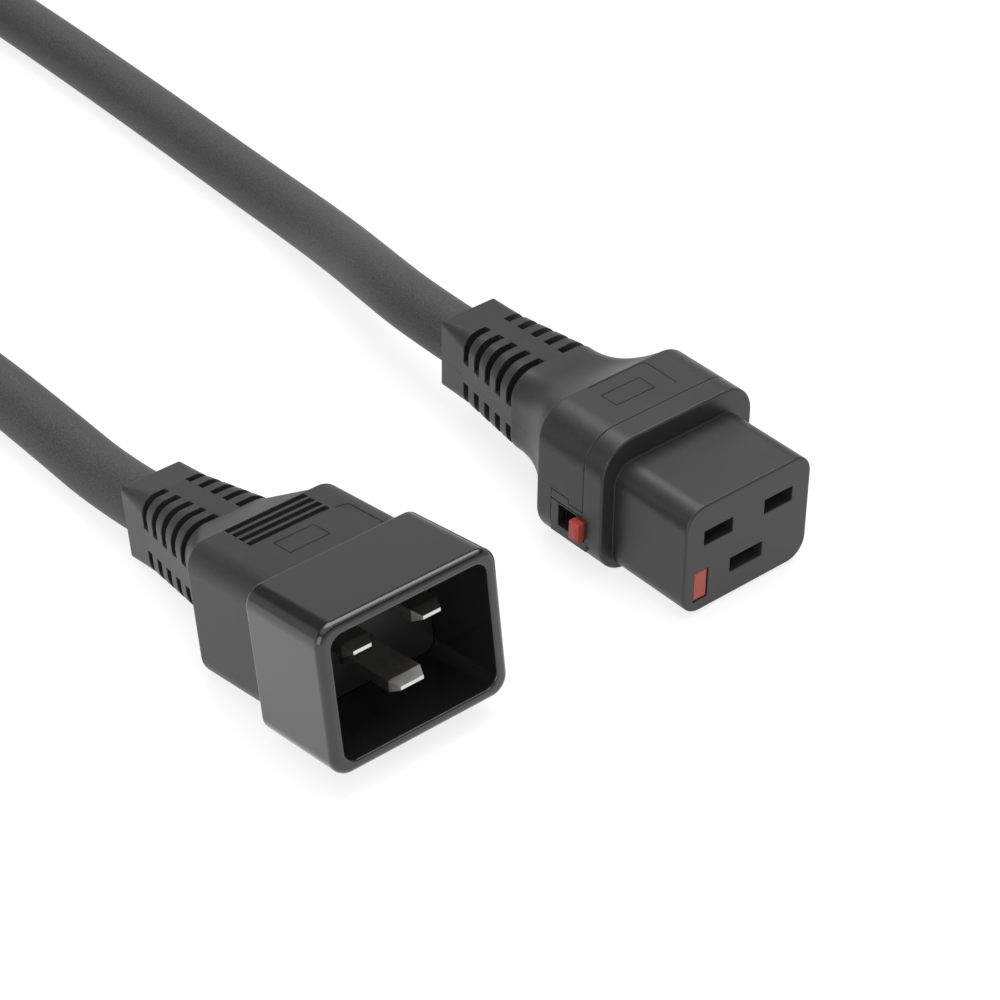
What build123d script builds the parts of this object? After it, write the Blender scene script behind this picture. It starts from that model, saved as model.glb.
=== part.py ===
"""Locking mains connector on a thick lead, with the matching inlet plug on the lead's far end.

The connector rests on the underside of its hood. Its mating face looks along -Y, the lead leaves
along +Y, and the red release slide is on the -X side. Every connector piece is drawn from the
middle of the mating face and then set down with its hood on the ground. The plug is drawn from
the middle of its mouth in the same way, then laid down at the angle at which it rests.
"""
from build123d import *
import os
from math import cos, pi, radians, sin, tan

os.makedirs("parts", exist_ok=True)

# Hood, neck and strain relief of the connector
overall_length = 68.0
hood_width = 32.4
hood_height = 25.0
hood_corner = 6.2
hood_start = 16.4
hood_front_edge = 0.4
hood_end = 32.0
hood_rear_edge = 0.8
seam_edge = 0.15
neck_step = 0.5
neck_end = 46.0
neck_flare_power = 2.4
neck_section_shares = (0.0, 0.2, 0.45, 0.72, 1.0)
block_lift = 10.7
cord_lift = 12.7

# Strain relief, shared by both ends of the lead
relief_front_width = 18.5
relief_front_height = 15.8
relief_front_corner = 4.6
relief_middle_width = 13.4
relief_middle_height = 14.4
relief_middle_corner = 3.0
relief_rear_width = 11.8
relief_rear_height = 13.0
relief_rear_corner = 0.7
relief_slot_count = 5
relief_slot_pitch = 3.375
relief_slot_length = 1.6
relief_tail = 6.7
spine_width = 3.9
sleeve_wall = 0.35

# Contact block that stands out of the hood
block_width = 27.0
block_height = 20.2
block_corner = 3.8
block_edge = 0.4
rim_depth = 4.3
block_rear = 29.6
front_wall = 2.4
moulding_gap = 0.15

# Standard pattern of the three poles
pole_spacing = 13.0
earth_drop = 8.0
pole_row_height = 3.8
slot_height = 2.8
line_slot_width = 6.2
earth_slot_width = 7.1
pin_thickness = 2.0
line_pin_width = 5.0
earth_pin_width = 6.0

# Sprung contacts behind the slots
leaf_thickness = 0.4
contact_play = 0.3
contact_front = 3.0
leaf_length = 13.0
pinch_place = 3.2
contact_neck_length = 2.4
crimp_length = 7.0
crimp_outer_r = 1.9
crimp_wall = 0.4
crimp_play = 0.1

# Plate that closes the back of the block, and the insulated wires
back_plate_depth = 2.0
core_outer_r = 1.4
core_hole_play = 0.25
core_ring_r = 1.75
core_bend_r = 5.0
core_straight = 2.0
cavity_wall_width = 20.0
cavity_wall_height = 12.6
cavity_corner = 3.0
cavity_end = 50.0
cavity_end_size = 8.2
cavity_end_corner = 3.6

# Red release slide, the steel clip that it draws back, and its leaf spring
travel = 3.0
slide_gap = 0.25
tab_width = 2.6
tab_height = 5.15
tab_outer = 11.05
tab_bottom = 7.7
tab_recess = 0.15
button_lead = 0.4
button_length = 2.2
button_height = 3.4
button_bottom = 5.1
button_proud = 1.6
button_bevel = 0.45
window_spare = 0.9
window_top_play = 0.55
arm_tail = 1.6
clip_thickness = 0.5
clip_play = 0.3
clip_front = 6.0
clip_length = 8.5
clip_tongue_length = 3.0
clip_tongue_height = 2.0
clip_tooth = 0.25
spring_thickness = 0.3
spring_height = 3.0
spring_length = 8.4
spring_bow = 0.45
spring_front = 15.6

# Tongue of the rim on the hood's left side, with the button's window
tongue_length = 7.4
tongue_thickness = 1.6
tongue_top = 0.9
tongue_bottom = 7.0
tongue_step = 0.8
tongue_step_place = 3.4
strip_height = 1.7
line_width = 0.2
line_depth = 0.25

# Inlet plug on the far end of the lead
shell_width = 33.3
shell_height = 25.6
shell_corner = 3.3
shell_depth = 18.0
shell_taper = 0.22
shell_wall = 2.2
shell_wall_bottom = 2.05
shell_rim_edge = 1.2
shell_mouth_edge = 0.4
shell_rear_edge = 0.5
pin_carrier_depth = 3.0
plug_pin_front = 3.9
plug_earth_front = 1.7
pin_tip_length = 1.8
pin_tip_width_cut = 0.85
pin_tip_height_cut = 0.7
pin_tail = 3.5
plug_body_width = 29.2
plug_body_top = 11.9
plug_body_bottom = 11.4
plug_body_corner = 4.0
plug_body_end = 36.0
plug_body_edge = 0.8
plug_shoulder_end = 44.4
plug_length = 66.5
plug_cord_lift = 0.4
plug_core_box_width = 19.0
plug_core_box_height = 13.0
grip_count = 4
grip_pitch = 1.85
grip_width = 15.0
grip_length = 1.35
grip_depth = 0.8
grip_start = 28.3
plug_pitch_down = 8.5
plug_x = -63.65
plug_y = -31.0

# Lead
cord_diameter = 10.4

# One overrun serves every cut that passes right through a face
overrun = 1.0

# Share of a run that each of its two arcs may use
arc_run_share = 0.45

# Places of the wires in the round lead, as angles about its middle
core_angles = {"line": 150.0, "neutral": 30.0, "earth": 270.0}

hood_centre = hood_height / 2 - block_lift
rim_end = hood_start + rim_depth
earth_row = pole_row_height - earth_drop
cord_offset = cord_lift - block_lift
crimp_start = contact_front + leaf_length + contact_neck_length
crimp_end = crimp_start + crimp_length
crimp_inner_r = crimp_outer_r - crimp_wall
plate_end = block_rear + back_plate_depth


def section(depth):
    """Plane across the connector at a depth behind the mating face, X to the right and Z up."""
    return Plane(origin=(0, depth, 0), x_dir=(1, 0, 0), z_dir=(0, -1, 0))


def bar(outline, front, back):
    """Straight piece with one outline from its front depth to its back depth."""
    return extrude(section(back) * outline, back - front)


def rounded(width, height, corner, x=0.0, z=0.0):
    return Pos(x, z) * RectangleRounded(width, height, corner)


def block_of(x_range, y_range, z_range):
    """Plain box between two corners, given as ranges on each axis."""
    sizes = [high - low for low, high in (x_range, y_range, z_range)]
    middle = [(high + low) / 2 for low, high in (x_range, y_range, z_range)]
    return Pos(*middle) * Box(*sizes)


def edges_at(shape, depth):
    """Edges that lie flat in the plane at one depth."""
    flat = shape.edges().filter_by_position(Axis.Y, depth, depth)
    return flat


def skin(outlines):
    """Smooth skin through (depth, sketch) pairs."""
    return loft([section(depth) * outline for depth, outline in outlines])


def arc_radii(points):
    """Largest arc that each corner's two runs leave room for."""
    radii = []
    for before, corner, after in zip(points, points[1:], points[2:]):
        into = Vector(*corner) - Vector(*before)
        out = Vector(*after) - Vector(*corner)
        half_turn = radians(into.get_angle(out)) / 2
        radii.append(arc_run_share * min(into.length, out.length) / tan(half_turn))
    return radii


def pole_places():
    """Name, X, Z, slot width and pin width of each pole, seen from the front."""
    half = pole_spacing / 2
    return [
        ("line", -half, pole_row_height, line_slot_width, line_pin_width),
        ("neutral", half, pole_row_height, line_slot_width, line_pin_width),
        ("earth", 0.0, earth_row, earth_slot_width, earth_pin_width),
    ]


def core_place(name):
    """Where each wire lies in the round lead: a triangle about its middle, earth at the bottom."""
    angle = radians(core_angles[name])
    return core_ring_r * cos(angle), core_ring_r * sin(angle)


# Strain relief

def relief_slots(last, centre):
    """Corner cuts at each station, which leave four spines joined to the sleeve round the lead."""
    size = 2 * max(relief_front_width, relief_front_height)
    sleeve_r = cord_diameter / 2 + sleeve_wall
    keep = Circle(sleeve_r) + Rectangle(spine_width, size) + Rectangle(size, spine_width)
    outline = Pos(0, centre) * (Rectangle(size, size) - keep)
    cuts = []
    for station in range(relief_slot_count):
        back = last - station * relief_slot_pitch
        cuts.append(bar(outline, back - relief_slot_length, back))
    return cuts


def relief(front, rear, centre):
    """Tapered sleeve whose section goes from a soft rectangle at the neck to a sharp one behind."""
    last = rear - relief_tail
    stations = [
        (front, relief_front_width, relief_front_height, relief_front_corner),
        (last, relief_middle_width, relief_middle_height, relief_middle_corner),
        (rear, relief_rear_width, relief_rear_height, relief_rear_corner),
    ]
    pieces = []
    for near, far in zip(stations, stations[1:]):
        faces = [(s[0], rounded(s[1], s[2], s[3], 0, centre)) for s in (near, far)]
        pieces.append(skin(faces))
    body = pieces[0] + pieces[1]
    for cut in relief_slots(last, centre):
        body -= cut
    return body


# Connector

def hood_outline(inset=0.0):
    width = hood_width - 2 * inset
    height = hood_height - 2 * inset
    return rounded(width, height, hood_corner - inset, 0, hood_centre)


def neck():
    """Concave flare from the back of the hood down to the strain relief."""
    outlines = []
    for share in neck_section_shares:
        flare = (1 - share) ** neck_flare_power
        width = relief_front_width + flare * (hood_width - 2 * neck_step - relief_front_width)
        height = relief_front_height + flare * (hood_height - 2 * neck_step - relief_front_height)
        corner = relief_front_corner + flare * (hood_corner - neck_step - relief_front_corner)
        centre = cord_offset + flare * (hood_centre - cord_offset)
        depth = hood_end + share * (neck_end - hood_end)
        outlines.append((depth, rounded(width, height, corner, 0, centre)))
    return skin(outlines)


def wire_cavity(start, end, width, height, centre, exit_centre):
    """Hollow in which the wires close up from the pole pattern to the lead's triangle."""
    wide = rounded(width, height, cavity_corner, 0, centre)
    narrow = rounded(cavity_end_size, cavity_end_size, cavity_end_corner, 0, exit_centre)
    return skin([(start, wide), (end, narrow)])


def connector_overmould():
    shell = bar(hood_outline(), rim_end, hood_end)
    shell = fillet(edges_at(shell, hood_end), hood_rear_edge)
    shell = chamfer(edges_at(shell, rim_end), seam_edge)
    shell += neck()
    shell += relief(neck_end, overall_length, cord_offset)
    pocket = rounded(
        block_width + 2 * moulding_gap,
        block_height + 2 * moulding_gap,
        block_corner + moulding_gap,
    )
    shell -= bar(pocket, rim_end - overrun, plate_end + moulding_gap)
    middle = (pole_row_height + earth_row) / 2
    shell -= wire_cavity(
        plate_end, cavity_end, cavity_wall_width, cavity_wall_height, middle, cord_offset
    )
    return shell - side_tongue(moulding_gap) - slide_way()


def side_tongue(growth=0.0):
    """Flat tongue of the rim in the hood's left wall, or with growth the seat that it lies in."""
    outer = -hood_width / 2
    front = rim_end - overrun
    step = rim_end + tongue_step_place + growth
    across = (outer - (overrun if growth else 0), outer + tongue_thickness + growth)
    upper = tongue_top + growth
    tongue = block_of(
        across, (front, rim_end + tongue_length + growth), (-tongue_bottom - growth, upper)
    )
    return tongue - block_of(
        (across[0] - overrun, across[1] + overrun),
        (front - overrun, step - 2 * growth),
        (upper - tongue_step, upper + overrun),
    )


def strip_line():
    """Fine groove along the tongue that marks off the strip over the button's window."""
    outer = -hood_width / 2
    level = tongue_top - strip_height
    return block_of(
        (outer - overrun, outer + line_depth),
        (rim_end, rim_end + tongue_length + overrun),
        (level - line_width / 2, level + line_width / 2),
    )


def button_ranges():
    """The red button's box: its place along the hood and its height there."""
    front = rim_end - button_lead
    return (front, front + button_length), (-button_bottom, -button_bottom + button_height)


def slide_way():
    """Window and free way for the button's stem through the hood and the block's wall."""
    along, up = button_ranges()
    return block_of(
        (-hood_width / 2 - overrun, -tab_outer + tab_width / 2),
        (along[0] - slide_gap, along[1] + travel + window_spare),
        (up[0] - slide_gap, up[1] + window_top_play),
    )


def arm_end():
    return button_ranges()[0][1] + arm_tail


def slide_channel():
    """Channel in the block for the slide's arm: the tab's window in front, the spring's room behind."""
    outer = -tab_outer - slide_gap
    inner = -tab_outer + tab_width + slide_gap
    up = (-tab_bottom - slide_gap, -tab_bottom + tab_height + slide_gap)
    window = block_of((outer, inner), (-overrun, front_wall + overrun), up)
    back = arm_end() + travel + slide_gap
    return window + block_of((outer, inner + spring_bow + spring_thickness), (front_wall, back), up)


def release_slider():
    """Red slide: tab flush with the mating face, arm along the block, button on the hood's side."""
    inner = -tab_outer + tab_width
    arm = block_of(
        (-tab_outer, inner), (tab_recess, arm_end()), (-tab_bottom, -tab_bottom + tab_height)
    )
    along, up = button_ranges()
    outer = -hood_width / 2 - button_proud
    stem = block_of((outer, -tab_outer + tab_width / 4), along, up)
    stem = chamfer(stem.faces().sort_by(Axis.X)[0].edges(), button_bevel)
    return arm + stem


def clip_sizes():
    """Outer half width, outer half height and tongue range of the locking clip."""
    half_width = earth_slot_width / 2 + clip_play + clip_thickness
    half_height = slot_height / 2 + leaf_thickness + clip_play + clip_thickness
    tongue_front = clip_front + (clip_length - clip_tongue_length) / 2
    return half_width, half_height, (tongue_front, tongue_front + clip_tongue_length)


def lock_clip():
    """Steel sleeve round the earth contact, drawn back by the slide through its side tongue."""
    half_width, half_height, tongue = clip_sizes()
    outer = Pos(0, earth_row) * Rectangle(2 * half_width, 2 * half_height)
    inner_width = 2 * (half_width - clip_thickness)
    inner_height = 2 * (half_height - clip_thickness)
    inner = Pos(0, earth_row) * Rectangle(inner_width, inner_height)
    sleeve = bar(outer - inner, clip_front, clip_front + clip_length)
    arm_side = -tab_outer + tab_width
    half_tongue = clip_tongue_height / 2
    tongue_box = block_of(
        (arm_side, -half_width + clip_thickness),
        tongue,
        (earth_row - half_tongue, earth_row + half_tongue),
    )
    slit = block_of(
        (-half_width / 2, half_width / 2),
        (clip_front - overrun, clip_front + clip_length / 2),
        (earth_row + half_height - clip_thickness - clip_tooth, earth_row + half_height + overrun),
    )
    return sleeve + tongue_box - slit


def chamber(name, x, z, slot_width):
    """Room behind each slot. The earth room is larger, for the clip that slides round its contact."""
    half_width = slot_width / 2 + contact_play
    half_height = slot_height / 2 + leaf_thickness + contact_play
    if name == "earth":
        clip_half_width, clip_half_height, tongue = clip_sizes()
        half_width = clip_half_width + clip_play
        half_height = clip_half_height + clip_play
    outline = Pos(x, z) * Rectangle(2 * half_width, 2 * half_height)
    return bar(outline, front_wall, block_rear + overrun)


def tongue_way():
    """Passage for the clip's tongue between the slide's channel and the earth room."""
    tongue = clip_sizes()[2]
    half_tongue = clip_tongue_height / 2 + slide_gap
    return block_of(
        (-tab_outer + tab_width, 0),
        (tongue[0] - slide_gap, tongue[1] + travel + slide_gap),
        (earth_row - half_tongue, earth_row + half_tongue),
    )


def contact_carrier():
    """Block with the three slots, and the rim that forms the front of the hood."""
    block = bar(rounded(block_width, block_height, block_corner), 0, block_rear)
    block = fillet(edges_at(block, 0), block_edge)
    rim = bar(hood_outline(), hood_start, rim_end)
    rim = fillet(edges_at(rim, hood_start), hood_front_edge)
    rim = chamfer(edges_at(rim, rim_end), seam_edge)
    body = block + rim + side_tongue() - strip_line()
    for name, x, z, slot_width, pin_width in pole_places():
        slot = Pos(x, z) * Rectangle(slot_width, slot_height)
        body -= bar(slot, -overrun, front_wall + overrun)
        body -= chamber(name, x, z, slot_width)
    return body - slide_channel() - slide_way() - tongue_way()


def leaf(side):
    """One contact leaf in side view: flared mouth, pinch and straight tail, as a ribbon."""
    rest = side * (slot_height + leaf_thickness) / 2
    pinch = side * (pin_thickness + leaf_thickness) / 2
    tip = side * (slot_height - leaf_thickness) / 2
    line = [
        (contact_front, tip),
        (contact_front + pinch_place, pinch),
        (contact_front + leaf_length / 2, rest),
        (contact_front + leaf_length, rest),
    ]
    half = leaf_thickness / 2
    upper = [(y, z + half) for y, z in line]
    lower = [(y, z - half) for y, z in reversed(line)]
    return Polygon(*upper, *lower, align=None)


def female_contact(x, z, width):
    """Folded brass contact: two leaves, the web that joins them, a flat neck and a crimp barrel."""
    web_front = contact_front + leaf_length
    web_half = slot_height / 2 + leaf_thickness
    web = Polygon(
        (web_front - leaf_thickness, -web_half),
        (web_front, -web_half),
        (web_front, web_half),
        (web_front - leaf_thickness, web_half),
        align=None,
    )
    side_view = Plane.YZ * (leaf(1) + leaf(-1) + web)
    body = extrude(side_view, width / 2, both=True)
    body += block_of(
        (-crimp_outer_r, crimp_outer_r),
        (web_front - leaf_thickness, crimp_start + crimp_wall),
        (-leaf_thickness / 2, leaf_thickness / 2),
    )
    barrel = Circle(crimp_outer_r) - Circle(crimp_inner_r)
    body += bar(barrel, crimp_start, crimp_end)
    return Pos(x, 0, z) * body


def wire_core(x, z, exit_x, exit_z, copper_start, sheath_start, bend_start, bend_end, end):
    """Insulated wire: bare copper in the crimp, then a route that closes up to the lead."""
    points = [
        (x, sheath_start, z),
        (x, bend_start, z),
        (exit_x, bend_end, exit_z),
        (exit_x, end, exit_z),
    ]
    radii = [min(core_bend_r, radius) for radius in arc_radii(points)]
    route = FilletPolyline(*points, radius=radii)
    profile = Plane(origin=points[0], x_dir=(1, 0, 0), z_dir=(0, 1, 0)) * Circle(core_outer_r)
    sheath = sweep(profile, path=route)
    copper_r = crimp_inner_r - crimp_play
    copper = Pos(x, z) * Circle(copper_r)
    return sheath + bar(copper, copper_start, sheath_start)


def connector_cores():
    cores = {}
    for name, x, z, slot_width, pin_width in pole_places():
        spot_x, spot_z = core_place(name)
        cores[name] = wire_core(
            x,
            z,
            spot_x,
            cord_offset + spot_z,
            crimp_start + crimp_wall + crimp_play,
            crimp_end + crimp_play,
            plate_end + core_straight,
            cavity_end - core_straight,
            cavity_end,
        )
    return cores


def carrier_back_plate():
    """Plate on the back of the block, with a hole for each wire."""
    plate = bar(rounded(block_width, block_height, block_corner), block_rear, plate_end)
    for name, x, z, slot_width, pin_width in pole_places():
        hole = Pos(x, z) * Circle(core_outer_r + core_hole_play)
        plate -= bar(hole, block_rear - overrun, plate_end + overrun)
    return plate


def slider_spring():
    """Bowed steel strip in the channel, beside the slide's arm, that keeps the slide home."""
    wall = slide_channel().bounding_box().max.X
    near = spring_front
    far = spring_front + spring_length
    middle = (near + far) / 2
    outer = wall - slide_gap / 2
    inner = outer - spring_bow
    outer_arc = ThreePointArc((outer, near), (inner, middle), (outer, far))
    back_arc = ThreePointArc(
        (outer - spring_thickness, far),
        (inner - spring_thickness, middle),
        (outer - spring_thickness, near),
    )
    ends = [Line((outer, far), (outer - spring_thickness, far))]
    ends.append(Line((outer - spring_thickness, near), (outer, near)))
    outline = make_face(Curve() + [outer_arc, ends[0], back_arc, ends[1]])
    strip = extrude(outline, spring_height / 2, both=True)
    return Pos(0, 0, -tab_bottom + tab_height / 2) * strip


# Plug

def plug_shell():
    """Glossy shroud: slightly flared walls round the pins and a seat for the pin carrier."""
    rear_width = shell_width - 2 * shell_taper
    rear_height = shell_height - 2 * shell_taper
    outer = skin([
        (0, rounded(shell_width, shell_height, shell_corner)),
        (shell_depth, rounded(rear_width, rear_height, shell_corner - shell_taper)),
    ])
    inner_width = shell_width - 2 * shell_wall
    inner_height = shell_height - 2 * shell_wall_bottom
    inner_corner = shell_corner - shell_wall / 2
    inner = bar(
        rounded(inner_width, inner_height, inner_corner), -overrun, shell_depth + overrun
    )
    outer = fillet(edges_at(outer, shell_depth), shell_rear_edge)
    outer = fillet(edges_at(outer, 0), shell_rim_edge)
    shroud = outer - inner
    mouth = [
        edge for edge in edges_at(shroud, 0)
        if abs(edge.center().X) < inner_width / 2 + shell_mouth_edge
        and abs(edge.center().Z) < inner_height / 2 + shell_mouth_edge
    ]
    return fillet(mouth, shell_mouth_edge)


def plug_pin_carrier():
    """Base of the shroud, through which the three pins pass."""
    width = shell_width - 2 * shell_wall - 2 * moulding_gap
    height = shell_height - 2 * shell_wall_bottom - 2 * moulding_gap
    corner = shell_corner - shell_wall / 2 - moulding_gap
    base = bar(rounded(width, height, corner), shell_depth - pin_carrier_depth, shell_depth)
    for name, x, z, slot_width, pin_width in pole_places():
        way = Rectangle(pin_width + 2 * moulding_gap, pin_thickness + 2 * moulding_gap)
        base -= bar(Pos(x, z) * way, shell_depth - pin_carrier_depth - overrun, shell_depth + overrun)
    return base


def plug_pin(x, z, width, front):
    """Flat brass pin with its four bevels at the tip, and a crimp barrel behind the base."""
    tip = loft([
        section(front) * Rectangle(width - 2 * pin_tip_width_cut, pin_thickness - 2 * pin_tip_height_cut),
        section(front + pin_tip_length) * Rectangle(width, pin_thickness),
    ])
    shaft = bar(Rectangle(width, pin_thickness), front + pin_tip_length, shell_depth + pin_tail)
    barrel_start = shell_depth + pin_tail - crimp_wall
    barrel = bar(Circle(crimp_outer_r), barrel_start, barrel_start + crimp_length)
    bore = bar(Circle(crimp_inner_r), barrel_start + crimp_wall, barrel_start + crimp_length + overrun)
    return Pos(x, 0, z) * (tip + shaft + barrel - bore)


def plug_crimp_end():
    return shell_depth + pin_tail - crimp_wall + crimp_length


def plug_shoulders():
    """Sloped shoulders from the plug's body down to its strain relief."""
    body_height = plug_body_top + plug_body_bottom
    body_centre = (plug_body_top - plug_body_bottom) / 2
    inset = plug_body_edge
    wide = rounded(
        plug_body_width - 2 * inset,
        body_height - 2 * inset,
        plug_body_corner - inset,
        0,
        body_centre,
    )
    narrow = rounded(
        relief_front_width, relief_front_height, relief_front_corner, 0, plug_cord_lift
    )
    return skin([(plug_body_end, wide), (plug_shoulder_end, narrow)])


def plug_grips():
    """Row of cross grooves on top of the body, for the fingers."""
    cuts = []
    for number in range(grip_count):
        front = grip_start + number * grip_pitch
        cuts.append(block_of(
            (-grip_width / 2, grip_width / 2),
            (front, front + grip_length),
            (plug_body_top - grip_depth, plug_body_top + overrun),
        ))
    return cuts


def plug_overmould():
    body_height = plug_body_top + plug_body_bottom
    body_centre = (plug_body_top - plug_body_bottom) / 2
    outline = rounded(plug_body_width, body_height, plug_body_corner, 0, body_centre)
    body = bar(outline, shell_depth, plug_body_end)
    body = fillet(edges_at(body, plug_body_end), plug_body_edge)
    body += plug_shoulders()
    body += relief(plug_shoulder_end, plug_length, plug_cord_lift)
    for cut in plug_grips():
        body -= cut
    middle = (pole_row_height + earth_row) / 2
    room = rounded(plug_core_box_width, plug_core_box_height, cavity_corner, 0, middle)
    body -= bar(room, shell_depth - overrun, plug_crimp_end() + core_straight)
    body -= wire_cavity(
        plug_crimp_end() + core_straight,
        plug_length - (overall_length - cavity_end),
        plug_core_box_width,
        plug_core_box_height,
        middle,
        plug_cord_lift,
    )
    return body


def plug_cores():
    end = plug_length - (overall_length - cavity_end)
    cores = {}
    for name, x, z, slot_width, pin_width in pole_places():
        spot_x, spot_z = core_place(name)
        cores[name] = wire_core(
            x,
            z,
            spot_x,
            plug_cord_lift + spot_z,
            shell_depth + pin_tail + crimp_play,
            plug_crimp_end() + crimp_play,
            plug_crimp_end() + core_straight,
            end - core_straight,
            end,
        )
    return cores


# Lead: the points are places on the ground and above it, as the lead lies

connector_run_points = [
    (0.8, 47.5, 12.7),
    (3.3, 61.0, 11.3),
    (7.2, 75.5, 8.6),
    (10.4, 92.0, 6.2),
    (12.1, 114.0, 5.2),
    (13.4, 142.0, 5.2),
    (14.4, 171.0, 5.2),
    (15.0, 199.0, 5.2),
    (15.0, 225.0, 5.2),
]
plug_run_points = [
    (-63.1, 65.0, 5.2),
    (-62.8, 86.0, 5.2),
    (-64.0, 110.0, 5.2),
    (-67.2, 136.0, 8.0),
    (-73.0, 162.0, 12.6),
]
plug_lead_out = 12.53
coil_middle = (-51.3, 270.0)
coil_turn_r = (66.3, 55.9, 45.5)
coil_entry_y = 225.0
coil_exit_angle = 200.0
coil_exit_length = 48.0
coil_lead_out = 21.7


def cord_tube(name, points):
    """Round lead along straight runs joined by arcs."""
    radii = arc_radii(points)
    print(name, "arc radii", [round(radius, 1) for radius in radii])
    route = FilletPolyline(*points, radius=radii)
    start = Vector(*points[0])
    heading = Vector(*points[1]) - start
    profile = Plane(origin=start, z_dir=heading) * Circle(cord_diameter / 2)
    tube = sweep(profile, path=route)
    expected = pi * (cord_diameter / 2) ** 2 * route.length
    print(name, "length", round(route.length, 1), "volume share", round(tube.volume / expected, 4))
    return tube


def coil_way_out(distance):
    """Point on the straight way out of the coil's upper layer, measured from where it leaves."""
    turn = radians(coil_exit_angle)
    radius = coil_turn_r[1]
    x = coil_middle[0] + radius * cos(turn) - distance * sin(turn)
    y = coil_middle[1] + radius * sin(turn) + distance * cos(turn)
    return x, y, 3 * cord_diameter / 2


def cord_coil():
    """Neat two-layer coil as one plain ring, with the straight ends that lead in and out."""
    outer, middle, inner = coil_turn_r
    half = cord_diameter / 2
    low = extrude(Circle(outer + half) - Circle(inner - half), cord_diameter)
    high = extrude(Circle(middle + half) - Circle(inner - half), 2 * cord_diameter)
    ring = Pos(coil_middle[0], coil_middle[1], 0) * (low + high)
    entry_length = coil_middle[1] - coil_entry_y
    entry = Plane(origin=(coil_middle[0] + outer, coil_entry_y, half), z_dir=(0, 1, 0))
    end_outline = Rectangle(cord_diameter, cord_diameter)
    ring += extrude(entry * end_outline, entry_length)
    leave = Vector(*coil_way_out(0))
    heading = Vector(*coil_way_out(coil_exit_length)) - leave
    way_out = Plane(origin=leave, x_dir=(0, 0, 1), z_dir=heading)
    ring += extrude(way_out * end_outline, coil_exit_length)
    return ring


# Everything is set down and written out, one file for each piece

connector_place = Pos(button_proud / 2, -overall_length / 2, block_lift)
tilt = Location((0, 0, 0), (-plug_pitch_down, 0, 0))
plug_body = plug_overmould()
plug_height = -(tilt * plug_body).bounding_box().min.Z
plug_place = Location((plug_x, plug_y, plug_height), (-plug_pitch_down, 0, 0))
plug_exit = (plug_place * Pos(0, plug_length, plug_cord_lift)).position
plug_lead = (plug_place * Pos(0, plug_length + plug_lead_out, plug_cord_lift)).position
print("plug exit and first corner", tuple(plug_exit), tuple(plug_lead))

connector_pieces = {
    "contact_carrier": contact_carrier(),
    "carrier_back_plate": carrier_back_plate(),
    "connector_overmould": connector_overmould(),
    "release_slider": release_slider(),
    "lock_clip": lock_clip(),
    "slider_spring": slider_spring(),
}
for name, x, z, slot_width, pin_width in pole_places():
    connector_pieces[name + "_contact"] = female_contact(x, z, slot_width)
for name, core in connector_cores().items():
    connector_pieces[name + "_core"] = core

plug_pieces = {
    "plug_shell": plug_shell(),
    "plug_pin_carrier": plug_pin_carrier(),
    "plug_overmould": plug_body,
}
for name, x, z, slot_width, pin_width in pole_places():
    front = plug_earth_front if name == "earth" else plug_pin_front
    plug_pieces["plug_" + name + "_pin"] = plug_pin(x, z, pin_width, front)
for name, core in plug_cores().items():
    plug_pieces["plug_" + name + "_core"] = core

exit_point = (button_proud / 2, overall_length / 2, cord_lift)
plug_route = [tuple(plug_exit), tuple(plug_lead)] + plug_run_points
plug_route += [coil_way_out(coil_exit_length + coil_lead_out), coil_way_out(coil_exit_length)]
cord_pieces = {
    "cord_connector_run": cord_tube("connector run", [exit_point] + connector_run_points),
    "cord_plug_run": cord_tube("plug run", plug_route),
    "cord_coil": cord_coil(),
}

for name, piece in connector_pieces.items():
    export_step(connector_place * piece, f"parts/{name}.step")
for name, piece in plug_pieces.items():
    export_step(plug_place * piece, f"parts/{name}.step")
for name, piece in cord_pieces.items():
    export_step(piece, f"parts/{name}.step")
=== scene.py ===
import bpy
from math import cos, pi, radians, sin
from mathutils import Matrix, Vector


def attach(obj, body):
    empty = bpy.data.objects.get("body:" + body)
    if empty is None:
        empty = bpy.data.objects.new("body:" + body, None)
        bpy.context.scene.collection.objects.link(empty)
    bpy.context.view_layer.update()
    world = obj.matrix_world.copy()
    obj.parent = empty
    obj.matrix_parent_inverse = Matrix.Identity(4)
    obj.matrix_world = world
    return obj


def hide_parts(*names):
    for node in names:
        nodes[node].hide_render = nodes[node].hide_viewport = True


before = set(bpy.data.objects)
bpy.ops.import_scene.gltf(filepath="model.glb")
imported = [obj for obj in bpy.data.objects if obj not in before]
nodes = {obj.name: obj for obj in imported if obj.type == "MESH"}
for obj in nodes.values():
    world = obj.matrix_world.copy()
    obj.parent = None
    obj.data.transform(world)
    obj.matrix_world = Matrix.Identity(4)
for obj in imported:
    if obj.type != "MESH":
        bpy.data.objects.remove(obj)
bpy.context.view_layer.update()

# Contact block: the black glass filled nylon moulding with the three slots. Its rim is the front
# band of the hood, and its tongue on the left side frames the slide's window. It came out of a
# spark eroded mould, so the skin is semi-matt with a very fine grain.
MM = 0.001


def put(tree, kind, values=None, **settings):
    """Adds a node, sets its own settings, then its input values or the links into them."""
    made = tree.nodes.new(kind)
    for key, value in settings.items():
        setattr(made, key, value)
    for key, value in (values or {}).items():
        if isinstance(value, bpy.types.NodeSocket):
            tree.links.new(value, made.inputs[key])
        else:
            made.inputs[key].default_value = value
    return made


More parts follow.
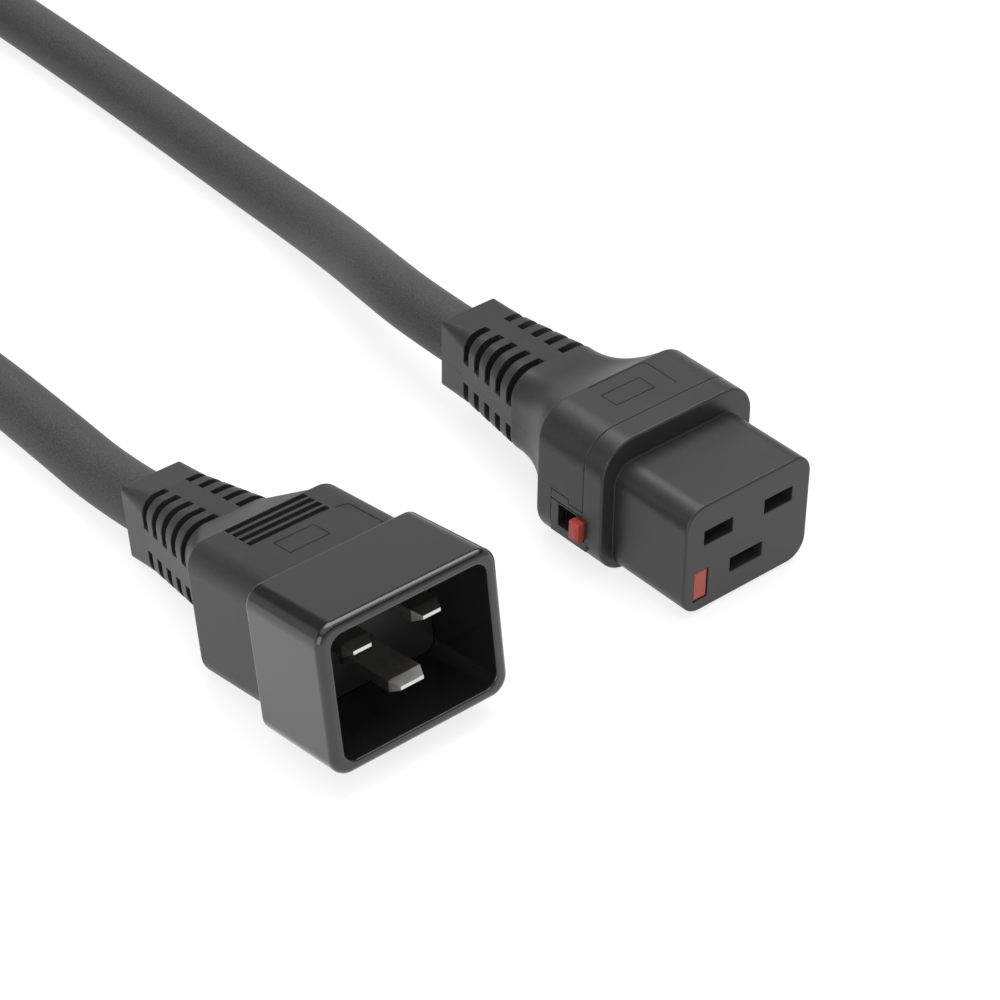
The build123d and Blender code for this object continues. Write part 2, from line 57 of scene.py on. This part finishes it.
def start_group(name, inputs, outputs):
    """Opens a shader node group with named float, colour or vector sockets."""
    group = bpy.data.node_groups.new(name, "ShaderNodeTree")
    kinds = {"f": "NodeSocketFloat", "c": "NodeSocketColor", "v": "NodeSocketVector"}
    for socket, kind in inputs.items():
        group.interface.new_socket(name=socket, in_out="INPUT", socket_type=kinds[kind])
    for socket, kind in outputs.items():
        group.interface.new_socket(name=socket, in_out="OUTPUT", socket_type=kinds[kind])
    return group, put(group, "NodeGroupInput").outputs, put(group, "NodeGroupOutput").inputs


def build_moulded_skin():
    """Plastic skin: cloudy tone, fine grain for height, and roughness that follows both."""
    inputs = {"Dark": "c", "Pale": "c", "Roughness": "f", "Spread": "f", "Grain": "f"}
    outputs = {"Colour": "c", "Roughness": "f", "Height": "f"}
    group, given, result = start_group("moulded_skin", inputs, outputs)
    place = put(group, "ShaderNodeTexCoord").outputs["Object"]
    cloud = put(group, "ShaderNodeTexNoise", {"Vector": place, "Scale": 90.0, "Detail": 3.0})
    grain = put(group, "ShaderNodeTexNoise", {"Vector": place, "Scale": given["Grain"], "Detail": 2.0})
    blend = put(group, "ShaderNodeMath", {0: cloud.outputs["Fac"], 1: grain.outputs["Fac"]},
                operation="ADD")
    share = put(group, "ShaderNodeMath", {0: blend.outputs[0], 1: 0.5}, operation="MULTIPLY")
    tone = put(group, "ShaderNodeMapRange",
               {"Value": share.outputs[0], "From Min": 0.3, "From Max": 0.7})
    mix = put(group, "ShaderNodeMix",
              {0: tone.outputs["Result"], 6: given["Dark"], 7: given["Pale"]}, data_type="RGBA")
    swing = put(group, "ShaderNodeMath", {0: share.outputs[0], 1: 0.5}, operation="SUBTRACT")
    scaled = put(group, "ShaderNodeMath", {0: swing.outputs[0], 1: given["Spread"]},
                 operation="MULTIPLY")
    rough = put(group, "ShaderNodeMath", {0: scaled.outputs[0], 1: given["Roughness"]},
                operation="ADD")
    group.links.new(mix.outputs[2], result["Colour"])
    group.links.new(rough.outputs[0], result["Roughness"])
    group.links.new(grain.outputs["Fac"], result["Height"])
    return group


def build_worn_highlit_edge():
    """Mask that is white on rounded-over edges, where it lays rubbed wear and a painted highlight, and
    the normal that rounds them.
    """
    group, given, result = start_group("worn_highlit_edge", {"Radius": "f"}, {"Mask": "f", "Normal": "v"})
    bevel = put(group, "ShaderNodeBevel", {"Radius": given["Radius"]}, samples=6)
    true_normal = put(group, "ShaderNodeNewGeometry").outputs["Normal"]
    facing = put(group, "ShaderNodeVectorMath", {0: bevel.outputs[0], 1: true_normal},
                 operation="DOT_PRODUCT")
    mask = put(group, "ShaderNodeMapRange",
               {"Value": facing.outputs["Value"], "From Min": 0.99, "From Max": 0.8})
    group.links.new(mask.outputs["Result"], result["Mask"])
    group.links.new(bevel.outputs[0], result["Normal"])
    return group


moulded_skin = build_moulded_skin()
worn_highlit_edge = build_worn_highlit_edge()


def plastic(name, dark, pale, worn_highlit_edge_colour, roughness, grain, depth, radius=0.25 * MM, spread=0.25,
            coat=0.0):
    """Moulded plastic from the shared skin and edge groups, with this piece's own values."""
    material = bpy.data.materials.new(name)
    material.use_nodes = True
    tree = material.node_tree
    shader = tree.nodes["Principled BSDF"]
    skin = put(tree, "ShaderNodeGroup", node_tree=moulded_skin)
    skin.inputs["Dark"].default_value = (*dark, 1)
    skin.inputs["Pale"].default_value = (*pale, 1)
    skin.inputs["Roughness"].default_value = roughness
    skin.inputs["Spread"].default_value = spread
    skin.inputs["Grain"].default_value = grain
    rim = put(tree, "ShaderNodeGroup", node_tree=worn_highlit_edge)
    rim.inputs["Radius"].default_value = radius
    # Lighter colour on the rounded edges: rubbed wear and a painted highlight.
    worn_highlit = put(tree, "ShaderNodeMix",
               {0: rim.outputs["Mask"], 6: skin.outputs["Colour"], 7: (*worn_highlit_edge_colour, 1)}, data_type="RGBA")
    bump = put(tree, "ShaderNodeBump", {"Height": skin.outputs["Height"], "Strength": 0.6,
                                        "Distance": depth, "Normal": rim.outputs["Normal"]})
    tree.links.new(worn_highlit.outputs[2], shader.inputs["Base Color"])
    tree.links.new(skin.outputs["Roughness"], shader.inputs["Roughness"])
    tree.links.new(bump.outputs["Normal"], shader.inputs["Normal"])
    shader.inputs["Coat Weight"].default_value = coat
    shader.inputs["Coat Roughness"].default_value = 0.08
    return material


def dress(piece, material):
    """Puts one material on every slot of a piece."""
    for slot in piece.material_slots:
        slot.material = material
    if not piece.material_slots:
        piece.data.materials.append(material)


carrier_nylon = plastic("carrier_nylon", dark=(0.020, 0.020, 0.021), pale=(0.028, 0.028, 0.029),
                        worn_highlit_edge_colour=(0.040, 0.040, 0.042), roughness=0.40, grain=2600.0, depth=0.02 * MM)
for name in ("contact_carrier", "carrier_back_plate", "plug_pin_carrier"):
    dress(nodes[name], carrier_nylon)

# Contacts: folded brass strip behind the slots, with drawn lines along the strip and a little
# tarnish. They sit in the block's chambers and are crimped to the wires.


def metal(name, dark, pale, roughness, grain, anisotropic=0.0):
    """Bare metal with a fine grain and cloudy tarnish."""
    material = bpy.data.materials.new(name)
    material.use_nodes = True
    tree = material.node_tree
    shader = tree.nodes["Principled BSDF"]
    skin = put(tree, "ShaderNodeGroup", node_tree=moulded_skin)
    skin.inputs["Dark"].default_value = (*dark, 1)
    skin.inputs["Pale"].default_value = (*pale, 1)
    skin.inputs["Roughness"].default_value = roughness
    skin.inputs["Spread"].default_value = 0.2
    skin.inputs["Grain"].default_value = grain
    bump = put(tree, "ShaderNodeBump", {"Height": skin.outputs["Height"], "Strength": 0.3,
                                        "Distance": 0.01 * MM})
    tree.links.new(skin.outputs["Colour"], shader.inputs["Base Color"])
    tree.links.new(skin.outputs["Roughness"], shader.inputs["Roughness"])
    tree.links.new(bump.outputs["Normal"], shader.inputs["Normal"])
    shader.inputs["Metallic"].default_value = 1.0
    shader.inputs["Anisotropic"].default_value = anisotropic
    return material


contact_brass = metal("contact_brass", dark=(0.52, 0.38, 0.17), pale=(0.80, 0.63, 0.34),
                      roughness=0.32, grain=1800.0)
for name in ("line_contact", "neutral_contact", "earth_contact"):
    dress(nodes[name], contact_brass)

# Wires: soft PVC insulation in the usual brown, blue and green colours, one in each pole of both
# ends. They are closed in by the mouldings.
wire_colours = {
    "line_core": ((0.13, 0.060, 0.030), (0.18, 0.085, 0.045)),
    "neutral_core": ((0.030, 0.100, 0.34), (0.045, 0.14, 0.44)),
    "earth_core": ((0.060, 0.26, 0.050), (0.42, 0.44, 0.050)),
}
for name, (dark, pale) in wire_colours.items():
    insulation = plastic(name + "_pvc", dark, pale, worn_highlit_edge_colour=pale, roughness=0.5, grain=900.0,
                         depth=0.01 * MM)
    dress(nodes[name], insulation)
    dress(nodes["plug_" + name], insulation)

# Release slide: one red acetal moulding, with a tab flush in the mating face and a bevelled button
# on the hood's left side. It runs in the block's channel.
slide_red = plastic("slide_red", dark=(0.52, 0.075, 0.050), pale=(0.60, 0.095, 0.068),
                    worn_highlit_edge_colour=(0.68, 0.16, 0.12), roughness=0.38, grain=1800.0, depth=0.012 * MM,
                    radius=0.2 * MM)
dress(nodes["release_slider"], slide_red)

# Locking clip and leaf spring: stamped stainless spring strip, bent to shape. The clip sits round
# the earth contact and the spring lies beside the slide, both hidden in the block.
spring_steel = metal("spring_steel", dark=(0.42, 0.42, 0.43), pale=(0.60, 0.60, 0.61),
                     roughness=0.30, grain=2400.0, anisotropic=0.4)
for name in ("lock_clip", "slider_spring"):
    dress(nodes[name], spring_steel)

# Hood, neck and strain relief: one soft black PVC overmoulding, satin, with a slightly cloudy skin and
# lighter edges, which are rubbed wear and a painted highlight.
PARTING_HEIGHT = 12.0 * MM
PARTING_WIDTH = 0.09 * MM


def soft_pvc(name):
    """The soft black PVC that both ends are moulded in."""
    return plastic(name, dark=(0.017, 0.017, 0.018), pale=(0.027, 0.027, 0.028),
                   worn_highlit_edge_colour=(0.040, 0.040, 0.042), roughness=0.42, grain=2000.0, depth=0.025 * MM)


def add_parting_line(material, height, width):
    """Fine dark line round a moulding, where the two halves of its mould met."""
    tree = material.node_tree
    shader = tree.nodes["Principled BSDF"]
    base = shader.inputs["Base Color"].links[0].from_socket
    place = put(tree, "ShaderNodeTexCoord").outputs["Object"]
    level = put(tree, "ShaderNodeSeparateXYZ", {"Vector": place}).outputs["Z"]
    line = put(tree, "ShaderNodeMath", {0: level, 1: height, 2: width}, operation="COMPARE")
    colour = put(tree, "ShaderNodeMix", {0: line.outputs[0], 6: base, 7: (0.003, 0.003, 0.003, 1)},
                 data_type="RGBA")
    tree.links.new(colour.outputs[2], shader.inputs["Base Color"])


connector_pvc = soft_pvc("connector_pvc")
add_parting_line(connector_pvc, PARTING_HEIGHT, PARTING_WIDTH)
dress(nodes["connector_overmould"], connector_pvc)

# Panel lines: thin raised outlines on top of the hood and of the plug's body. They belong to the PVC
# overmouldings and stand only a hair above them; their near-black colour is painted shade, the shade
# inside engraved lines.
LINE_THICKNESS = 0.22 * MM
HOOD_TOP = 25.0
PLUG_TOP = 11.9
PLUG_PLACE = Matrix.Translation(Vector((-63.65, -31.0, 16.486)) * MM)
PLUG_TURN = Matrix.Rotation(radians(-8.5), 4, "X")
# Near-black colour: painted shade of the engraved lines.
panel_line_shade = plastic("panel_line_shade", dark=(0.004, 0.004, 0.004), pale=(0.008, 0.008, 0.008),
                    worn_highlit_edge_colour=(0.015, 0.015, 0.015), roughness=0.6, grain=2000.0, depth=0.01 * MM)


def panel_line(name, corners, level, closed, place=None):
    """Thin round line laid on a flat face, through corners given in millimetres."""
    curve = bpy.data.curves.new(name, "CURVE")
    curve.dimensions = "3D"
    spline = curve.splines.new("POLY")
    spline.points.add(len(corners) - 1)
    for point, corner in zip(spline.points, corners):
        point.co = (corner[0] * MM, corner[1] * MM, level * MM, 1)
    spline.use_cyclic_u = closed
    curve.bevel_depth = LINE_THICKNESS / 2
    curve.bevel_resolution = 3
    line = bpy.data.objects.new(name, curve)
    if place:
        line.matrix_world = place
    bpy.context.collection.objects.link(line)
    dress(line, panel_line_shade)
    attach(line, "connector")
    return line


hood_edge_line = [(-5.2, -2.9), (5.6, -2.9), (6.4, -3.1), (6.7, -3.8), (6.7, -10.4)]
hood_frame = [(-5.2, -5.8), (3.0, -5.8), (3.0, -9.4), (-5.2, -9.4)]
plug_edge_line = [(8.3, 28.0), (9.4, 27.8), (10.2, 27.2), (10.3, 26.2), (10.3, 18.2)]
plug_frame = [(-4.6, 26.4), (2.8, 26.4), (2.8, 22.3), (-4.6, 22.3)]
panel_line("hood_edge_line", hood_edge_line, HOOD_TOP, False)
panel_line("hood_frame", hood_frame, HOOD_TOP, True)
on_plug = PLUG_PLACE @ PLUG_TURN
plug_edge = panel_line("plug_edge_line", plug_edge_line, PLUG_TOP, False, on_plug)
plug_panel = panel_line("plug_frame", plug_frame, PLUG_TOP, True, on_plug)

# Lead: one length of thick round three core flex with a dark grey matt sheath, finely speckled. It
# leaves the hood's strain relief, runs to a neat coil outside the view and comes back to the plug.
CORD_DIAMETER = 10.4 * MM
connector_run = [
    (0.8, 34.0, 12.7),
    (0.8, 47.5, 12.7),
    (3.3, 61.0, 11.3),
    (7.2, 75.5, 8.6),
    (10.4, 92.0, 6.2),
    (12.1, 114.0, 5.2),
    (13.4, 142.0, 5.2),
    (14.4, 171.0, 5.2),
    (15.0, 199.0, 5.2),
    (15.0, 225.0, 5.2),
]
plug_run = [
    (-87.41, 205.78, 15.6),
    (-79.99, 185.38, 15.6),
    (-73.0, 162.0, 12.6),
    (-67.2, 136.0, 8.0),
    (-64.0, 110.0, 5.2),
    (-62.8, 86.0, 5.2),
    (-63.1, 65.0, 5.2),
    (-63.65, 47.22, 5.2),
    (-63.65, 34.83, 7.05),
]
coil_middle = (-51.3, 270.0)
coil_turn_r = (66.3, 55.9, 45.5)
coil_end_angle = 1640
coil_step = 15
crossing_start = 305.0
crossing_length = 50.0
upper_shift_start = 245.0
upper_shift_length = 55.0
lying_height = 5.2
layer_height = 10.4


def coil_place(angle):
    """Radius and height of the lead at one angle of the coil, low layer inwards, then high."""
    outer, middle, inner = coil_turn_r
    turn, around = divmod(angle, 360)
    share = min(max((around - crossing_start) / crossing_length, 0), 1)
    drawn_in = 1 - cos(share * pi / 2)
    if turn == 0:
        return outer - (outer - middle) * drawn_in, lying_height
    if turn == 1:
        return middle - (middle - inner) * drawn_in, lying_height
    if turn == 2:
        return inner, lying_height + layer_height * sin(share * pi / 2)
    share = min(max((around - upper_shift_start) / upper_shift_length, 0), 1)
    if turn == 4:
        share = 1
    return inner + (middle - inner) * share, lying_height + layer_height


def coil_points():
    """The coil's turns as control points, set out a little so that the curve has the real radius."""
    swell = 1 / cos(radians(coil_step) / 2)
    points = []
    for angle in range(coil_step, coil_end_angle + 1, coil_step):
        radius, height = coil_place(angle)
        x = coil_middle[0] + radius * swell * cos(radians(angle))
        y = coil_middle[1] + radius * swell * sin(radians(angle))
        points.append((x, y, height))
    return points


def lay_cord(name, points):
    """One smooth spline with the route's points as its control points, and a round section."""
    curve = bpy.data.curves.new(name, "CURVE")
    curve.dimensions = "3D"
    spline = curve.splines.new("NURBS")
    spline.points.add(len(points) - 1)
    for point, place in zip(spline.points, points):
        point.co = (*[value * MM for value in place], 1)
    spline.order_u = 3
    spline.use_endpoint_u = True
    curve.resolution_u = 8
    curve.bevel_depth = CORD_DIAMETER / 2
    curve.bevel_resolution = 10
    cord = bpy.data.objects.new(name, curve)
    bpy.context.collection.objects.link(cord)
    return cord


def cord_material():
    """Matt PVC sheath: dark grey, fine pale and dark specks, and soft light at grazing angles."""
    material = bpy.data.materials.new("cord_sheath")
    material.use_nodes = True
    tree = material.node_tree
    shader = tree.nodes["Principled BSDF"]
    place = put(tree, "ShaderNodeTexCoord").outputs["Object"]
    skin = put(tree, "ShaderNodeGroup", node_tree=moulded_skin)
    skin.inputs["Dark"].default_value = (0.018, 0.018, 0.0185, 1)
    skin.inputs["Pale"].default_value = (0.030, 0.030, 0.0305, 1)
    skin.inputs["Roughness"].default_value = 0.62
    skin.inputs["Spread"].default_value = 0.2
    skin.inputs["Grain"].default_value = 2400.0
    specks = put(tree, "ShaderNodeTexNoise", {"Vector": place, "Scale": 3800.0, "Detail": 2.0})
    pale = put(tree, "ShaderNodeMapRange",
               {"Value": specks.outputs["Fac"], "From Min": 0.42, "From Max": 0.68})
    colour = put(tree, "ShaderNodeMix", {0: pale.outputs["Result"], 6: skin.outputs["Colour"],
                                         7: (0.058, 0.058, 0.059, 1)}, data_type="RGBA")
    bump = put(tree, "ShaderNodeBump", {"Height": specks.outputs["Fac"], "Strength": 0.5,
                                        "Distance": 0.06 * MM})
    tree.links.new(colour.outputs[2], shader.inputs["Base Color"])
    tree.links.new(skin.outputs["Roughness"], shader.inputs["Roughness"])
    tree.links.new(bump.outputs["Normal"], shader.inputs["Normal"])
    shader.inputs["Sheen Weight"].default_value = 0.25
    shader.inputs["Sheen Roughness"].default_value = 0.4
    return material


lead = lay_cord("lead", connector_run + coil_points() + plug_run)
dress(lead, cord_material())
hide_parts("cord_connector_run", "cord_coil", "cord_plug_run")
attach(lead, "connector")
plug_pieces = [piece for name, piece in nodes.items() if name.startswith("plug_")]
plug_pieces += [plug_edge, plug_panel]

# Plug shroud: hard polished plastic, deep black, glossier than everything else on the lead. It is
# one moulding with an open front and rounded corners, and the plug body is moulded over its back.
shell_gloss = plastic("shell_gloss", dark=(0.011, 0.011, 0.012), pale=(0.014, 0.014, 0.015),
                      worn_highlit_edge_colour=(0.022, 0.022, 0.024), roughness=0.13, grain=700.0, depth=0.004 * MM,
                      radius=0.3 * MM, spread=0.08, coat=0.5)
dress(nodes["plug_shell"], shell_gloss)

# Plug body: the same soft PVC as the hood, moulded over the shroud's back and round the lead, with
# finger grooves on top and a slotted strain relief behind.
plug_pvc = soft_pvc("plug_pvc")
dress(nodes["plug_overmould"], plug_pvc)

# Plug pins: three flat pins stamped from brass, nickel plated and bevelled at the tips. They are
# held in the base of the shroud.
pin_nickel = metal("pin_nickel", dark=(0.62, 0.61, 0.59), pale=(0.74, 0.73, 0.70),
                   roughness=0.36, grain=900.0)
for name in ("plug_line_pin", "plug_neutral_pin", "plug_earth_pin"):
    dress(nodes[name], pin_nickel)

# Studio: a white table with two soft boxes over it. The table shows white to the camera and in
# reflections, and still takes the object's shadow.
TABLE_SIZE = 6.0
TABLE_GREY = 0.30
TABLE_GLOW = 0.78
table_mesh = bpy.data.meshes.new("table")
half = TABLE_SIZE / 2
corners = [(-half, -half, 0), (half, -half, 0), (half, half, 0), (-half, half, 0)]
table_mesh.from_pydata(corners, [], [(0, 1, 2, 3)])
table = bpy.data.objects.new("table", table_mesh)
bpy.context.collection.objects.link(table)


def seen_directly(tree):
    """Value that is 1 for what the camera, a reflection or a clear piece shows."""
    path = put(tree, "ShaderNodeLightPath").outputs
    first = put(tree, "ShaderNodeMath",
                {0: path["Is Camera Ray"], 1: path["Is Glossy Ray"]}, operation="MAXIMUM")
    both = put(tree, "ShaderNodeMath",
               {0: first.outputs[0], 1: path["Is Transmission Ray"]}, operation="MAXIMUM")
    return both.outputs[0]


def table_material():
    """Matt white table that glows only for what shows it directly."""
    material = bpy.data.materials.new("table_white")
    material.use_nodes = True
    tree = material.node_tree
    shader = tree.nodes["Principled BSDF"]
    shader.inputs["Base Color"].default_value = (TABLE_GREY, TABLE_GREY, TABLE_GREY, 1)
    shader.inputs["Roughness"].default_value = 0.9
    shader.inputs["Specular IOR Level"].default_value = 0.1
    shader.inputs["Emission Color"].default_value = (1, 1, 1, 1)
    glow = put(tree, "ShaderNodeMath", {0: seen_directly(tree), 1: TABLE_GLOW},
               operation="MULTIPLY")
    tree.links.new(glow.outputs[0], shader.inputs["Emission Strength"])
    return material


dress(table, table_material())


def sky_band(tree, height, stops):
    """Brightness of the studio by height above the table, from (height, brightness) stops."""
    ramp = put(tree, "ShaderNodeValToRGB", {"Fac": height})
    for number, (place, level) in enumerate(stops):
        if number < 2:
            stop = ramp.color_ramp.elements[number]
        else:
            stop = ramp.color_ramp.elements.new(place)
        stop.position = place
        stop.color = (level, level, level, 1)
    return ramp.outputs["Color"]


# Surroundings: a pale backdrop near the table, a dark gap above it and a wide soft ceiling on top.
# Reflections show all three, and the light that falls on the object comes mostly from the ceiling.
SKY_STRENGTH = 1.1
MIRRORED_STOPS = [(0.0, 0.58), (1.0, 1.0), (0.40, 0.50), (0.50, 0.10), (0.70, 0.10), (0.78, 0.95)]
LIGHTING_STOPS = [(0.0, 0.34), (1.0, 0.85), (0.40, 0.32), (0.70, 0.72)]
world = bpy.data.worlds.new("studio")
bpy.context.scene.world = world
world.use_nodes = True
sky = world.node_tree
direction = put(sky, "ShaderNodeTexCoord").outputs["Generated"]
sky_height = put(sky, "ShaderNodeSeparateXYZ", {"Vector": direction}).outputs["Z"]
mirrored = sky_band(sky, sky_height, MIRRORED_STOPS)
lighting = sky_band(sky, sky_height, LIGHTING_STOPS)
is_mirrored = seen_directly(sky)
seen = put(sky, "ShaderNodeMix", {0: is_mirrored, 6: lighting, 7: mirrored}, data_type="RGBA")
by_camera = put(sky, "ShaderNodeLightPath").outputs["Is Camera Ray"]
shown = put(sky, "ShaderNodeMix", {0: by_camera, 6: seen.outputs[2], 7: (1, 1, 1, 1)},
            data_type="RGBA")
sky.links.new(shown.outputs[2], sky.nodes["Background"].inputs["Color"])
sky.nodes["Background"].inputs["Strength"].default_value = SKY_STRENGTH


def soft_box(name, place, aim, size, power):
    """Rectangular studio light that faces a point."""
    light = bpy.data.lights.new(name, "AREA")
    light.shape = "RECTANGLE"
    light.size, light.size_y = size
    light.energy = power
    lamp = bpy.data.objects.new(name, light)
    lamp.location = place
    lamp.rotation_euler = (Vector(aim) - Vector(place)).to_track_quat("-Z", "Y").to_euler()
    bpy.context.collection.objects.link(lamp)


LIGHT_AIM = (-0.02, 0, 0.01)
soft_box("top_box", place=(0.25, 0.25, 1.0), aim=LIGHT_AIM, size=(0.9, 0.9), power=7.5)
soft_box("left_box", place=(-0.9, -0.3, 0.35), aim=LIGHT_AIM, size=(0.8, 0.6), power=3.5)

# Camera: a long lens at the photograph's viewing angle, above and in front of the connector's left
# side. Its place and turn were fitted to the photograph.
CAMERA_PLACE = (-284.74 * MM, -303.56 * MM, 300.97 * MM)
CAMERA_RIGHT = Vector((0.7602, -0.6496, 0.0110))
CAMERA_FORWARD = Vector((0.5303, 0.6107, -0.5881))
FOCAL_MM = 111.7
SENSOR_MM = 36.0
NEAR_CLIP = 0.01
camera_data = bpy.data.cameras.new("camera")
camera_data.lens = FOCAL_MM
camera_data.sensor_width = SENSOR_MM
camera_data.clip_start = NEAR_CLIP
camera = bpy.data.objects.new("camera", camera_data)
bpy.context.collection.objects.link(camera)
back = -CAMERA_FORWARD.normalized()
right = (CAMERA_RIGHT - CAMERA_RIGHT.dot(back) * back).normalized()
up = back.cross(right)
turn = Matrix((right, up, back)).transposed().to_4x4()
camera.matrix_world = Matrix.Translation(Vector(CAMERA_PLACE)) @ turn
bpy.context.scene.camera = camera
bpy.context.scene.view_settings.view_transform = "Standard"
